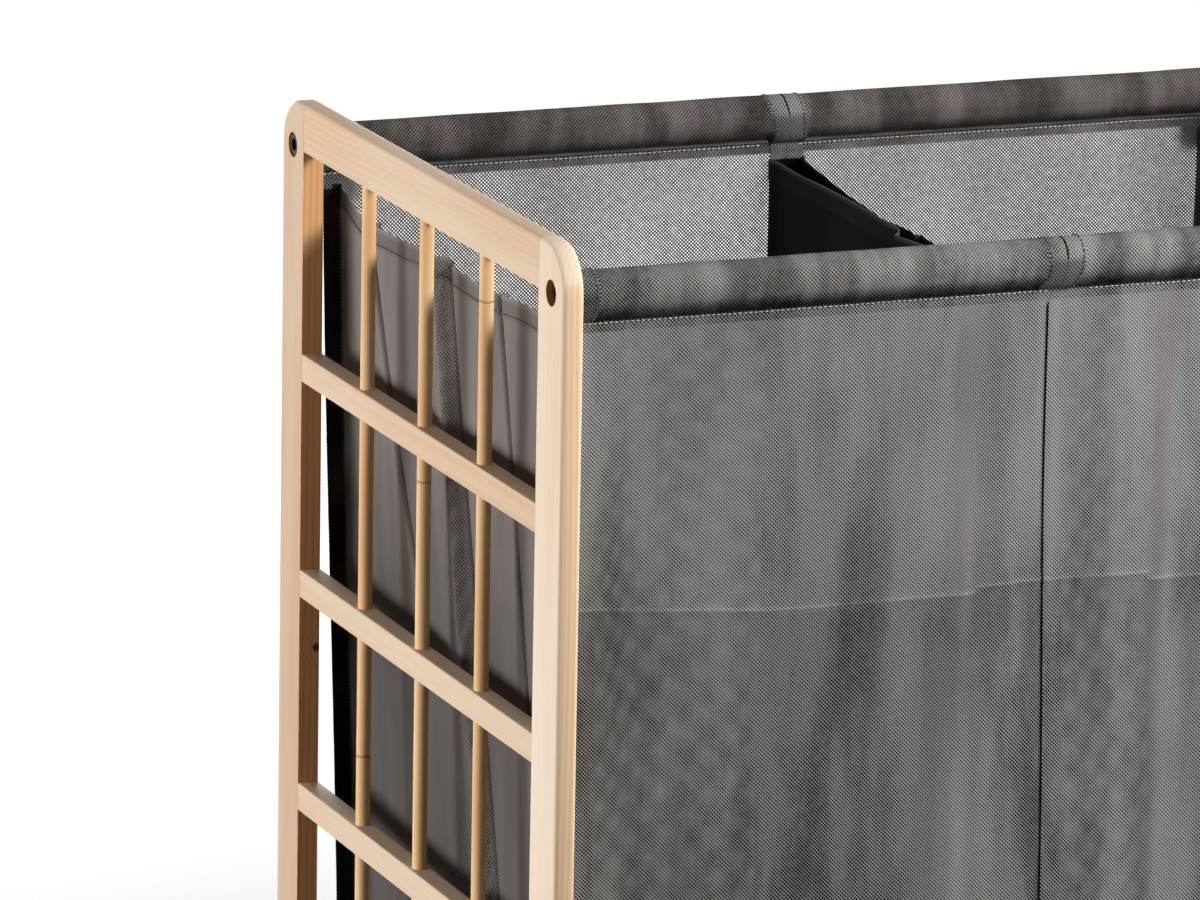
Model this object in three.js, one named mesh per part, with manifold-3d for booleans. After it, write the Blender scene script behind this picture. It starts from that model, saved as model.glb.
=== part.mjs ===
// Laundry hamper with two bins. Two lattice end frames of pine stand on their stiles and are held apart by
// four round rods. The two upper rods carry a pair of open cloth bags by sleeves sewn along the bags' tops.
//
// Millimetres. +X runs along the rods to the right, +Y to the back and +Z up. The origin is on the floor
// under the middle of the hamper. A side of -1 is the left or the front, and +1 is the right or the back.

import * as THREE from "three";
import { mergeVertices } from "three/addons/utils/BufferGeometryUtils.js";
import Module from "manifold-3d";

const wasm = await Module();
wasm.setup();

// Overall size
const overallWidth = 590;
const overallDepth = 430;
const overallHeight = 600;

// Fits
const seatGap = 0.3; // round a tenon, a bolt, an insert or a sewn edge
const dowelGap = 0.15; // round a lattice dowel in its hole
const glueGap = 0.1; // between a rail's shoulder and its stile
const cutOverrun = 2; // how far a cutting body runs past the face that it opens

// Boards of the end frames
const boardThickness = 12;
const stileWidth = 35;
const topRailHeight = 27.5;
const lowRailHeight = 16;
const lowRailCount = 4;
const firstRailExtra = 6.5; // the space under the top rail is this much taller than the others
const footHeight = 66; // from the floor to the lowest rail's lower edge
const cornerRadius = 26; // the outer upper corners, seen from the end
const footChamfer = 2; // the outer corner of a stile's foot
const outerArris = 2.5; // rounding of the edges that face outwards
const innerArris = 0.8; // rounding of the rails' edges inside the lattice

// Tenons on the rails
const tenonLength = 7;
const tenonThickness = 5;
const tenonShoulder = 3.5; // above and below a tenon

// Lattice dowels
const dowelDiameter = 8;
const dowelCount = 3;
const dowelSeat = 10; // how deep a dowel sits in the top rail and in the lowest rail

// Rods between the end frames
const rodDiameter = 20;
const rodDrop = 26.3; // from the top of the frame to the upper rods' axis
const lowRodHeight = 42; // from the floor to the lower rods' axis
const rodChamfer = 0.8;

// Bolts that hold the rods
const shankDiameter = 8;
const headDiameter = 13.6;
const headHeight = 5;
const headChamfer = 0.5;
const socketFlats = 7;
const socketDepth = 3.4;
const boltReach = 18; // how far a bolt reaches into its rod
const frontRecess = 3; // depth of the front bolts' heads below the frame's outer face
const backRecess = 0.6; // depth of the back bolts' heads

// Threaded inserts in the rods' ends
const insertDiameter = 12;
const insertLength = 20;
const insertSetback = 0.5;
const boreRoom = 3; // beyond the insert

// Cloth bags
const clothThickness = 1.5;
const bagGap = 1.6; // between the two bags' sleeves
const sleeveEndGap = 1; // between a sleeve and the end frame
const stitchDrop = 17; // from a rod's axis to the seam that closes the sleeve
const endPanelDrop = 27; // from a rod's axis to an end panel's upper edge
const flangeWidth = 11; // cloth of the front and back panels that stands past an end panel
const flangeInset = 8; // from the end frame to the flange's edge
const bagFloorGap = 12; // between the lower rods and the bags

// Facets. An outline's quarter arc gets twice the segments that it is given.
const arrisSegments = 4;
const cornerSegments = 8;
const dowelSegments = 20;
const rodSegments = 24;
const boltSegments = 18;

// Worked out from the sizes above
const innerFaceX = overallWidth / 2 - boardThickness;
const clearWidth = overallDepth - 2 * stileWidth;
const stileCentreY = overallDepth / 2 - stileWidth / 2;
const topRailLower = overallHeight - topRailHeight;
const railPitch = (topRailLower - firstRailExtra - footHeight) / lowRailCount;
const topRodZ = overallHeight - rodDrop;
const rodRadius = rodDiameter / 2;

const pine = { color: 0xe6cbaa, roughness: 0.6, metalness: 0 };
const bamboo = { color: 0xdcb684, roughness: 0.5, metalness: 0 };
const rodWood = { color: 0xdcc09a, roughness: 0.65, metalness: 0 };
const blackSteel = { color: 0x101012, roughness: 0.35, metalness: 0.9 };
const zincSteel = { color: 0xb9b6a8, roughness: 0.4, metalness: 1 };
const greyCloth = { color: 0x6f6c69, roughness: 0.95, metalness: 0 };

const hamper = new THREE.Group();

function addPiece(name, geometry, finish) {
  const mesh = new THREE.Mesh(geometry, new THREE.MeshStandardMaterial(finish));
  mesh.name = name;
  hamper.add(mesh);
}

// Solids for cutting and joining

function toSolid(geometry) {
  const bare = new THREE.BufferGeometry();
  bare.setAttribute("position", geometry.getAttribute("position").clone());
  bare.setIndex(geometry.getIndex());
  const merged = mergeVertices(bare);
  return new wasm.Manifold(
    new wasm.Mesh({
      numProp: 3,
      vertProperties: merged.getAttribute("position").array,
      triVerts: new Uint32Array(merged.getIndex().array),
    }),
  );
}

function toGeometry(solid) {
  const mesh = solid.getMesh();
  const geometry = new THREE.BufferGeometry();
  geometry.setAttribute("position", new THREE.BufferAttribute(mesh.vertProperties, 3));
  geometry.setIndex(new THREE.BufferAttribute(mesh.triVerts, 1));
  geometry.computeVertexNormals();
  return geometry;
}

function cut(geometry, tools) {
  const solid = tools.reduce((rest, tool) => rest.subtract(toSolid(tool)), toSolid(geometry));
  return toGeometry(solid);
}

function join(geometries) {
  const solid = geometries.map(toSolid).reduce((sum, next) => sum.add(next));
  return toGeometry(solid);
}

// A box given by its lowest and highest corner
function boxBetween(low, high) {
  const size = high.map((value, i) => value - low[i]);
  const middle = high.map((value, i) => (value + low[i]) / 2);
  return new THREE.BoxGeometry(...size).translate(...middle);
}

function barAlongX(radius, fromX, toX, segments) {
  const bar = new THREE.CylinderGeometry(radius, radius, Math.abs(toX - fromX), segments);
  return bar.rotateZ(Math.PI / 2).translate((fromX + toX) / 2, 0, 0);
}

function barAlongZ(radius, fromZ, toZ, segments) {
  const bar = new THREE.CylinderGeometry(radius, radius, toZ - fromZ, segments);
  return bar.rotateX(Math.PI / 2).translate(0, 0, (fromZ + toZ) / 2);
}

// An outline drawn in Y and Z, swept along X about the plane x = 0
function sweepAlongX(outline, length, options) {
  const swept = new THREE.ExtrudeGeometry(outline, { depth: length, bevelEnabled: false, ...options });
  swept.computeBoundingBox();
  const lowest = swept.boundingBox.min.z;
  const highest = swept.boundingBox.max.z;
  swept.translate(0, 0, -(lowest + highest) / 2);
  const turn = new THREE.Matrix4().makeBasis(
    new THREE.Vector3(0, 1, 0),
    new THREE.Vector3(0, 0, 1),
    new THREE.Vector3(1, 0, 0),
  );
  return swept.applyMatrix4(turn);
}

// End frames

// The rods' places, one for each bolt in an end frame
const rodRows = [
  { name: "front_top", side: -1, z: topRodZ, recess: frontRecess },
  { name: "back_top", side: 1, z: topRodZ, recess: backRecess },
  { name: "front_bottom", side: -1, z: lowRodHeight, recess: frontRecess },
  { name: "back_bottom", side: 1, z: lowRodHeight, recess: backRecess },
];

// Rails from the top down, each with the height of its lower edge
const rails = [{ name: "top_rail", lower: topRailLower, height: topRailHeight, upperArris: outerArris }];
for (let i = 1; i <= lowRailCount; i += 1) {
  const lower = topRailLower - firstRailExtra - i * railPitch;
  rails.push({ name: `rail_${i}`, lower, height: lowRailHeight, upperArris: innerArris });
}

// One corner of a rail's section as an arc, from the angle that it starts at
function sectionCorner(outline, x, z, radius, startAngle) {
  outline.absarc(x, z, radius, startAngle, startAngle + Math.PI / 2, false);
}

function railSection(rail) {
  const half = boardThickness / 2;
  const upper = rail.upperArris;
  const lower = innerArris;
  const outline = new THREE.Shape();
  sectionCorner(outline, half - lower, lower, lower, -Math.PI / 2);
  sectionCorner(outline, half - upper, rail.height - upper, upper, 0);
  sectionCorner(outline, upper - half, rail.height - upper, upper, Math.PI / 2);
  sectionCorner(outline, lower - half, lower, lower, Math.PI);
  outline.closePath();
  return outline;
}

// The space that a rail's tenon takes, or with a margin the mortise for it
function tenonBox(rail, side, margin) {
  const inner = clearWidth / 2 - cutOverrun;
  const outer = clearWidth / 2 + tenonLength + margin;
  const halfThickness = tenonThickness / 2 + margin;
  const low = rail.lower + tenonShoulder - margin;
  const high = rail.lower + rail.height - tenonShoulder + margin;
  const [fromY, toY] = side < 0 ? [-outer, -inner] : [inner, outer];
  return boxBetween([-halfThickness, fromY, low], [halfThickness, toY, high]);
}

function stileGeometry(side, frameSide) {
  const outer = overallDepth / 2;
  const waste = outer - stileWidth - 2 * outerArris;
  const outline = new THREE.Shape();
  outline.moveTo(waste, 0);
  outline.lineTo(outer - footChamfer, 0);
  outline.lineTo(outer, footChamfer);
  outline.lineTo(outer, overallHeight - cornerRadius);
  outline.absarc(outer - cornerRadius, overallHeight - cornerRadius, cornerRadius, 0, Math.PI / 2, false);
  outline.lineTo(waste, overallHeight);
  outline.closePath();
  const board = sweepAlongX(outline, boardThickness - 2 * outerArris, {
    curveSegments: cornerSegments,
    bevelEnabled: true,
    bevelThickness: outerArris,
    bevelSize: outerArris,
    bevelOffset: -outerArris,
    bevelSegments: arrisSegments,
  });
  // The board is drawn as the back one, and half a turn about Z makes it the front one
  if (side < 0) board.rotateZ(Math.PI);
  const inner = outer - stileWidth;
  const [fromY, toY] = side < 0 ? [-inner, -waste + cutOverrun] : [waste - cutOverrun, inner];
  const halfWaste = boardThickness / 2 + cutOverrun;
  const tools = [boxBetween([-halfWaste, fromY, -cutOverrun], [halfWaste, toY, overallHeight + cutOverrun])];
  rails.forEach((rail) => tools.push(tenonBox(rail, side, seatGap)));
  rodRows
    .filter((row) => row.side === side)
    .forEach((row) => {
      const face = (frameSide * boardThickness) / 2;
      const floor = face - frameSide * (row.recess + headHeight);
      const past = face + frameSide * cutOverrun;
      const counterbore = barAlongX(headDiameter / 2 + seatGap, floor, past, boltSegments);
      const hole = barAlongX(shankDiameter / 2 + seatGap, -halfWaste, halfWaste, boltSegments);
      tools.push(counterbore.translate(0, side * stileCentreY, row.z));
      tools.push(hole.translate(0, side * stileCentreY, row.z));
    });
  return cut(board, tools);
}

// The lattice dowels' places along Y
function dowelPlaces() {
  const spacing = clearWidth / (dowelCount + 1);
  return Array.from({ length: dowelCount }, (_, i) => (i + 1) * spacing - clearWidth / 2);
}

const dowelTop = topRailLower + dowelSeat;
const dowelBottom = footHeight + lowRailHeight - dowelSeat;

function railGeometry(rail) {
  const length = clearWidth - 2 * glueGap;
  const board = new THREE.ExtrudeGeometry(railSection(rail), {
    depth: length,
    bevelEnabled: false,
    curveSegments: arrisSegments / 2,
  });
  board.rotateX(Math.PI / 2).translate(0, length / 2, rail.lower);
  const tenoned = join([board, tenonBox(rail, -1, 0), tenonBox(rail, 1, 0)]);
  const radius = dowelDiameter / 2 + dowelGap;
  const holes = dowelPlaces().map((y) =>
    barAlongZ(radius, dowelBottom - seatGap, dowelTop + seatGap, dowelSegments).translate(0, y, 0),
  );
  return cut(tenoned, holes);
}

for (const [frameName, frameSide] of [
  ["left", -1],
  ["right", 1],
]) {
  const frameX = frameSide * (innerFaceX + boardThickness / 2);
  for (const [stileName, side] of [
    ["front", -1],
    ["back", 1],
  ]) {
    addPiece(`${frameName}_${stileName}_stile`, stileGeometry(side, frameSide).translate(frameX, 0, 0), pine);
  }
  rails.forEach((rail) => {
    addPiece(`${frameName}_${rail.name}`, railGeometry(rail).translate(frameX, 0, 0), pine);
  });
  dowelPlaces().forEach((y, i) => {
    const dowel = barAlongZ(dowelDiameter / 2, dowelBottom, dowelTop, dowelSegments);
    addPiece(`${frameName}_dowel_${i + 1}`, dowel.translate(frameX, y, 0), bamboo);
  });
}

// Rods, with a blind bore in each end for the threaded insert

const rodLength = 2 * (innerFaceX - seatGap);

function rodGeometry() {
  const end = rodLength / 2;
  const boreRadius = insertDiameter / 2 + seatGap;
  const boreFloor = end - insertSetback - insertLength - boreRoom;
  const upperHalf = [
    [rodRadius, end - rodChamfer],
    [rodRadius - rodChamfer, end],
    [boreRadius, end],
    [boreRadius, boreFloor],
    [0, boreFloor],
  ];
  const lowerHalf = upperHalf.map(([radius, along]) => [radius, -along]).reverse();
  const profile = [...lowerHalf, ...upperHalf].map(([radius, along]) => new THREE.Vector2(radius, along));
  return new THREE.LatheGeometry(profile, rodSegments).rotateZ(-Math.PI / 2);
}

rodRows.forEach((row) => {
  addPiece(`${row.name}_rod`, rodGeometry().translate(0, row.side * stileCentreY, row.z), rodWood);
});

// Bolts with a hexagon socket, and the inserts that they screw into

// A turned profile with the head's outer face at zero and the shank below it
function boltGeometry(length) {
  const head = headDiameter / 2;
  const shank = shankDiameter / 2;
  const profile = [
    [0, -length],
    [shank - headChamfer, -length],
    [shank, headChamfer - length],
    [shank, -headHeight],
    [head, -headHeight],
    [head, -headChamfer],
    [head - headChamfer, 0],
    [0, 0],
  ].map(([radius, along]) => new THREE.Vector2(radius, along));
  const turned = new THREE.LatheGeometry(profile, boltSegments);
  const socketRadius = socketFlats / Math.sqrt(3);
  const socket = new THREE.CylinderGeometry(socketRadius, socketRadius, socketDepth + cutOverrun, 6);
  return cut(turned, [socket.translate(0, (cutOverrun - socketDepth) / 2, 0)]);
}

function insertGeometry() {
  const outer = insertDiameter / 2;
  const bore = shankDiameter / 2 + seatGap;
  const profile = [
    [bore, -insertLength],
    [outer, -insertLength],
    [outer, 0],
    [bore, 0],
    [bore, -insertLength],
  ].map(([radius, along]) => new THREE.Vector2(radius, along));
  return new THREE.LatheGeometry(profile, boltSegments);
}

for (const [frameName, frameSide] of [
  ["left", -1],
  ["right", 1],
]) {
  rodRows.forEach((row) => {
    const headFace = overallWidth / 2 - row.recess;
    const length = headFace - rodLength / 2 + boltReach;
    const bolt = boltGeometry(length).rotateZ((-frameSide * Math.PI) / 2);
    bolt.translate(frameSide * headFace, row.side * stileCentreY, row.z);
    addPiece(`${frameName}_${row.name}_bolt`, bolt, blackSteel);
    const mouth = rodLength / 2 - insertSetback;
    const insert = insertGeometry().rotateZ((-frameSide * Math.PI) / 2);
    insert.translate(frameSide * mouth, row.side * stileCentreY, row.z);
    addPiece(`${frameName}_${row.name}_insert`, insert, zincSteel);
  });
}

// Bags. Each has a front and a back panel that hang from a rod by a sleeve, two end panels and a base.

const bagBottom = lowRodHeight + rodRadius + bagFloorGap;
const panelDrop = topRodZ - bagBottom;

// The loop of cloth round a rod, closed by the seam below it
function sleeveLoop(path, radius, apexAngle) {
  path.absarc(0, 0, radius, apexAngle - Math.PI / 2, (3 * Math.PI) / 2 - apexAngle, false);
  path.lineTo(0, -radius / Math.cos(apexAngle));
  path.closePath();
}

// A hung panel about its rod's axis: the sleeve from sleeveFrom to sleeveTo, the plain cloth between the others
function hungPanel(sleeveFrom, sleeveTo, clothFrom, clothTo) {
  const inside = rodRadius + seatGap;
  const outside = inside + clothThickness;
  const apexAngle = Math.acos(outside / stitchDrop);
  const outline = new THREE.Shape();
  sleeveLoop(outline, outside, apexAngle);
  const tunnel = new THREE.Path();
  sleeveLoop(tunnel, inside, apexAngle);
  outline.holes.push(tunnel);
  const sleeve = sweepAlongX(outline, sleeveTo - sleeveFrom, { curveSegments: cornerSegments });
  sleeve.translate((sleeveFrom + sleeveTo) / 2, 0, 0);
  const half = clothThickness / 2;
  const top = clothThickness / 2 - stitchDrop;
  return join([sleeve, boxBetween([clothFrom, -half, -panelDrop], [clothTo, half, top])]);
}

for (const [bagName, bagSide] of [
  ["left_bag", -1],
  ["right_bag", 1],
]) {
  // Places along X as distances from the middle of the hamper, put on the bag's own side
  const ordered = (near, far) => (bagSide < 0 ? [-far, -near] : [near, far]);
  const [sleeveFrom, sleeveTo] = ordered(bagGap / 2, innerFaceX - sleeveEndGap);
  const [clothFrom, clothTo] = ordered(bagGap / 2, innerFaceX - flangeInset);
  for (const [panelName, side] of [
    ["front", -1],
    ["back", 1],
  ]) {
    const panel = hungPanel(sleeveFrom, sleeveTo, clothFrom, clothTo);
    addPiece(`${bagName}_${panelName}_panel`, panel.translate(0, side * stileCentreY, topRodZ), greyCloth);
  }
  const reachY = stileCentreY - clothThickness / 2 - seatGap;
  const [boxFrom, boxTo] = ordered(bagGap / 2 + flangeWidth, innerFaceX - flangeInset - flangeWidth);
  const base = boxBetween([boxFrom, -reachY, bagBottom], [boxTo, reachY, bagBottom + clothThickness]);
  addPiece(`${bagName}_base`, base, greyCloth);
  const endLower = bagBottom + clothThickness + seatGap;
  const endUpper = topRodZ - endPanelDrop;
  for (const [endName, fromX] of [
    ["left", boxFrom],
    ["right", boxTo - clothThickness],
  ]) {
    const panel = boxBetween([fromX, -reachY, endLower], [fromX + clothThickness, reachY, endUpper]);
    addPiece(`${bagName}_${endName}_end`, panel, greyCloth);
  }
}

export default hamper;
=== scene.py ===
from math import cos, exp, pi, radians, sin, sqrt

import bpy
from mathutils import Matrix, Vector, noise


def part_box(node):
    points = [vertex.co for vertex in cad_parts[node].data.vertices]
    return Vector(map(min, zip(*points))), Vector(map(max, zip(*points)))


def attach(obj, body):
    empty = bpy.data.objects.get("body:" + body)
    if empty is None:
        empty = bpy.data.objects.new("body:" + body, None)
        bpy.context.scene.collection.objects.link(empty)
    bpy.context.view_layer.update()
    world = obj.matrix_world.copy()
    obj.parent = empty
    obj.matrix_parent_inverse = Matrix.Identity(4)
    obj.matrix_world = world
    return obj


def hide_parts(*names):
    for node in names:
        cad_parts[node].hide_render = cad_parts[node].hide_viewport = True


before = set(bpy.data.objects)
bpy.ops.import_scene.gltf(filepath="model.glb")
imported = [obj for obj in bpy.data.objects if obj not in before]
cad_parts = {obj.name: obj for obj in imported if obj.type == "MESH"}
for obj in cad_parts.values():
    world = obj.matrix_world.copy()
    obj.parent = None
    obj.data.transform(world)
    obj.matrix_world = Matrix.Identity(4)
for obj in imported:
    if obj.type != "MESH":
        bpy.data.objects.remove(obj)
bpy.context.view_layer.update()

# Camera. A long lens about five metres off, in front of the hamper and to its left, looking slightly down.
# It frames the left end frame, the left bag and the start of the right bag.
camera_place = Vector((-1.882, -4.197, 1.545))
camera_azimuth = radians(-22.0)
camera_elevation = radians(13.77)
camera_roll = radians(1.0)
camera_lens = 255.5
camera_reach = 100

backward = Vector((
    sin(camera_azimuth) * cos(camera_elevation),
    -cos(camera_azimuth) * cos(camera_elevation),
    sin(camera_elevation),
))
level = Vector((cos(camera_azimuth), sin(camera_azimuth), 0))
upright = backward.cross(level)
sideways = level * cos(camera_roll) + upright * sin(camera_roll)
upward = upright * cos(camera_roll) - level * sin(camera_roll)
scene = bpy.context.scene
camera = bpy.data.objects.new("camera", bpy.data.cameras.new("camera"))
camera.data.lens = camera_lens
camera.data.clip_end = camera_reach
camera_turn = Matrix((sideways, upward, backward)).transposed().to_4x4()
camera.matrix_world = Matrix.Translation(camera_place) @ camera_turn
scene.collection.objects.link(camera)
scene.camera = camera

# End frames. Flat frames glued up from 12 mm pine boards, planed and sanded, with a clear matt finish. The
# outer edges are rounded over, the joints are stub tenons, and each board has a grain of its own.


def paint(red, green, blue):
    """A colour from its 0 to 255 values on screen."""
    def linear(value):
        share = value / 255
        return share / 12.92 if share <= 0.04045 else ((share + 0.055) / 1.055) ** 2.4
    return (linear(red), linear(green), linear(blue), 1)


def new_finish(name):
    finish = bpy.data.materials.new(name)
    finish.use_nodes = True
    tree = finish.node_tree
    return finish, tree, tree.nodes["Principled BSDF"]


def feed(socket, value):
    if isinstance(value, bpy.types.NodeSocket):
        socket.id_data.links.new(value, socket)
    else:
        socket.default_value = value


def new_node(kind, *values):
    """A node in the tree of the first socket among the values that it works on."""
    tree = next(value.id_data for value in values if isinstance(value, bpy.types.NodeSocket))
    return tree.nodes.new(f"ShaderNode{kind}")


def fill(node, values):
    for socket, value in zip(node.inputs, values):
        feed(socket, value)
    return node.outputs


def maths(operation, *values):
    node = new_node("Math", *values)
    node.operation = operation
    return fill(node, values)[0]


def vector_maths(operation, *values):
    node = new_node("VectorMath", *values)
    node.operation = operation
    return fill(node, values)


def plus(*values):
    return maths("ADD", *values)


def minus(*values):
    return maths("SUBTRACT", *values)


def times(*values):
    return maths("MULTIPLY", *values)


def size_of(value):
    return maths("ABSOLUTE", value)


def distance_of(*offsets):
    return maths("SQRT", plus(*[times(offset, offset) for offset in offsets]))


def fade(value, start, end, low=0, high=1):
    node = new_node("MapRange", value)
    node.interpolation_type = "SMOOTHSTEP"
    return fill(node, (value, start, end, low, high))[0]


def blend_of(factor, first, second):
    node = new_node("Mix", factor)
    node.data_type = "RGBA"
    for number, value in ((0, factor), (6, first), (7, second)):
        feed(node.inputs[number], value)
    return node.outputs[2]


def own_place(tree):
    return tree.nodes.new("ShaderNodeTexCoord").outputs["Object"]


def split_up(place):
    return fill(new_node("SeparateXYZ", place), (place,))


def speckle(place, scales, detail=2.0, offset=0.0):
    """Noise from 0 to 1, stretched by its scales along X, Y and Z."""
    stretched = vector_maths("MULTIPLY_ADD", place, scales, (offset,) * 3)[0]
    texture = new_node("TexNoise", place)
    texture.inputs["Scale"].default_value = 1
    texture.inputs["Detail"].default_value = detail
    return fill(texture, (stretched,))[0]


def coat(shader, colour, roughness, gloss):
    feed(shader.inputs["Base Color"], colour)
    feed(shader.inputs["Roughness"], roughness)
    shader.inputs["Specular IOR Level"].default_value = gloss


def raised(shader, height, strength, distance):
    bump = new_node("Bump", height)
    for name, value in (("Strength", strength), ("Distance", distance), ("Height", height)):
        feed(bump.inputs[name], value)
    feed(shader.inputs["Normal"], bump.outputs[0])


pine_pale = (229, 205, 180)
pine_line = (205, 169, 135)
pine_pink = (224, 194, 165)
board_lift = {"front": (18, 24, 28), "back": (-12, -13, -12)}
# The stiles' edge faces get a tint of their own: the front stiles' front face a more saturated tan, and the
# back stiles' inner face a deep orange with darker grain, which is painted shade and bounce light.
stile_face_tints_and_shade = {
    "front": (paint(236, 200, 156), paint(*pine_line)),
    "back": (paint(240, 174, 106), paint(196, 122, 66)),
}
edge_band = (0.0016, 0.0004)
pine_knot = paint(112, 58, 34)
# The bore walls are raw wood, painted a bright orange that is partly painted bounce light in the bore.
bore_wood_and_bounce = paint(248, 166, 92)
bore_radius = 0.0072
bore_blur = 0.0001
glue_line = paint(186, 134, 88)
glue_band = (0.0005, 0.0002)
joint_y = 0.18
along_y = 1
along_z = 2
grain_strength = {along_y: 0.36, along_z: 0.5}
ring_width = 0.0026
ring_wander = 0.011
wander_scales = (7.0, 1.7)
patch_scales = (22.0, 3.0)
fibre_scales = (1300.0, 22.0)


def along_board(lengthwise, scales):
    """Noise scales from one scale across the board and one along it."""
    return [scales[1] if axis == lengthwise else scales[0] for axis in range(3)]


def pine_finish(name, lengthwise, heart, seed, knots=(), lift=(0, 0, 0), bores=(), edge=None):
    """Pine with its length along one axis, cut from a log whose heart lies off the board."""
    finish, tree, shader = new_finish(name)
    pale, line, pink = [
        paint(*[min(255, value + more) for value, more in zip(tint, lift)])
        for tint in (pine_pale, pine_line, pine_pink)
    ]
    place = own_place(tree)
    parts = split_up(place)
    drift = times(minus(speckle(place, along_board(lengthwise, wander_scales), 1.5, seed), 0.5), ring_wander)
    across = [axis for axis in range(3) if axis != lengthwise]
    offsets = [minus(parts[axis], middle) for axis, middle in zip(across, heart)]
    radius = plus(distance_of(*offsets), drift)
    knot_mark = None
    for middle, size in knots:
        away = vector_maths("DISTANCE", place, middle)["Value"]
        knot_mark = fade(away, size, size * 0.55)
        radius = plus(radius, fade(away, size * 4, size * 0.5, 0, size))
    turn = maths("FRACT", maths("DIVIDE", radius, ring_width))
    late = times(fade(turn, 0.25, 0.9), fade(turn, 1.0, 0.93))
    cloud = speckle(place, along_board(lengthwise, patch_scales), 2.0, seed + 4)
    strength = fade(cloud, 0.35, 0.75, 0.04, grain_strength[lengthwise])
    fibre = speckle(place, along_board(lengthwise, fibre_scales), 3.0, seed)
    grain = times(late, strength)
    colour = blend_of(fade(cloud, 0.35, 0.7), pale, pink)
    colour = blend_of(grain, colour, line)
    colour = blend_of(fade(fibre, 0.5, 0.8, 0, 0.45), colour, line)
    # An edge face painted with its tint; on a back stile's inner face this is painted shade and bounce light.
    if edge:
        edge_y, face_tint_and_shade, face_grain_and_shade = edge
        on_edge = fade(parts[along_y], *[edge_y + depth for depth in edge_band], 0, 0.72)
        colour = blend_of(on_edge, colour, face_tint_and_shade)
        colour = blend_of(times(on_edge, fade(late, 0.2, 0.9, 0, 0.4)), colour, face_grain_and_shade)
    if knot_mark:
        colour = blend_of(knot_mark, colour, pine_knot)
    # The bores' walls, painted as raw wood and bounce light.
    for middle in bores:
        aside = [minus(parts[along_y + number], value) for number, value in enumerate(middle)]
        bored = fade(distance_of(*aside), bore_radius + bore_blur, bore_radius - bore_blur)
        colour = blend_of(bored, colour, bore_wood_and_bounce)
    if lengthwise == along_y:
        from_joint = minus(size_of(parts[along_y]), joint_y)
        glue = times(fade(size_of(from_joint), *glue_band), fade(cloud, 0.4, 0.6, 0.2, 0.8))
        colour = blend_of(glue, colour, glue_line)
    coat(shader, colour, fade(fibre, 0.3, 0.7, 0.5, 0.62), 0.12)
    raised(shader, minus(fibre, times(late, 0.4)), 0.12, 0.0003)
    return finish


def smooth_shape(node, widest_turn):
    """Smooth shading over a CAD piece's rounded edges. Its own vertices stay as they are."""
    mesh = node.data
    for name in ("custom_normal", "sharp_edge", "sharp_face"):
        if name in mesh.attributes:
            mesh.attributes.remove(mesh.attributes[name])
    mesh.shade_smooth()
    weld = node.modifiers.new("weld", "WELD")
    weld.merge_threshold = 0.00001
    split = node.modifiers.new("split", "EDGE_SPLIT")
    split.split_angle = widest_turn


def dress(node_name, finish, widest_turn=radians(50)):
    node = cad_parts[node_name]
    node.data.materials.clear()
    node.data.materials.append(finish)
    smooth_shape(node, widest_turn)


rail_names = ["top_rail", "rail_1", "rail_2", "rail_3", "rail_4"]
back_stile_knot = (Vector((-0.2845, 0.18, 0.286)), 0.0032)
stile_hearts = {"front": (0.055, -0.03), "back": (-0.035, 0.05)}
rail_hearts_x = (0.05, -0.05)
rail_hearts_z = (-0.035, -0.005, 0.025)

for side_number, frame_side in enumerate(("left", "right")):
    face_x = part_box(f"{frame_side}_front_stile")[0].x
    for stile_number, stile_side in enumerate(("front", "back")):
        stile = f"{frame_side}_{stile_side}_stile"
        stile_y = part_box(stile)[0].y
        heart_x, heart_y = stile_hearts[stile_side]
        heart = (face_x + heart_x, stile_y + heart_y)
        knots = [back_stile_knot] if stile == "left_back_stile" else []
        bolts = [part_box(f"{frame_side}_{stile_side}_{end}_bolt") for end in ("top", "bottom")]
        bores = [((low + high) / 2).yz for low, high in bolts]
        seed = 3.1 + 7 * side_number + 2.3 * stile_number
        edge = (stile_y, *stile_face_tints_and_shade[stile_side])
        lift = board_lift[stile_side]
        dress(stile, pine_finish(f"{stile}_pine", along_z, heart, seed, knots, lift, bores, edge))
    for rail_number, rail_name in enumerate(rail_names):
        rail = f"{frame_side}_{rail_name}"
        heart = (face_x + rail_hearts_x[rail_number % 2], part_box(rail)[0].z + rail_hearts_z[rail_number % 3])
        dress(rail, pine_finish(f"{rail}_pine", along_y, heart, 1.7 + 5 * side_number + 1.9 * rail_number))

# Lattice dowels. Split bamboo turned to 8 mm, yellower than the boards, with long fibres and here and there
# the ring of a node. They run through the rails and are glued in the top and the lowest one.
bamboo_pale = paint(252, 214, 164)
bamboo_tan = paint(231, 180, 125)
bamboo_ring = paint(168, 122, 74)
node_band = 0.0011
node_wave = 0.002
node_heights = {
    "left_dowel_1": 0.547, "left_dowel_2": 0.427, "left_dowel_3": 0.248,
    "right_dowel_1": 0.21, "right_dowel_2": 0.49, "right_dowel_3": 0.34,
}


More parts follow.
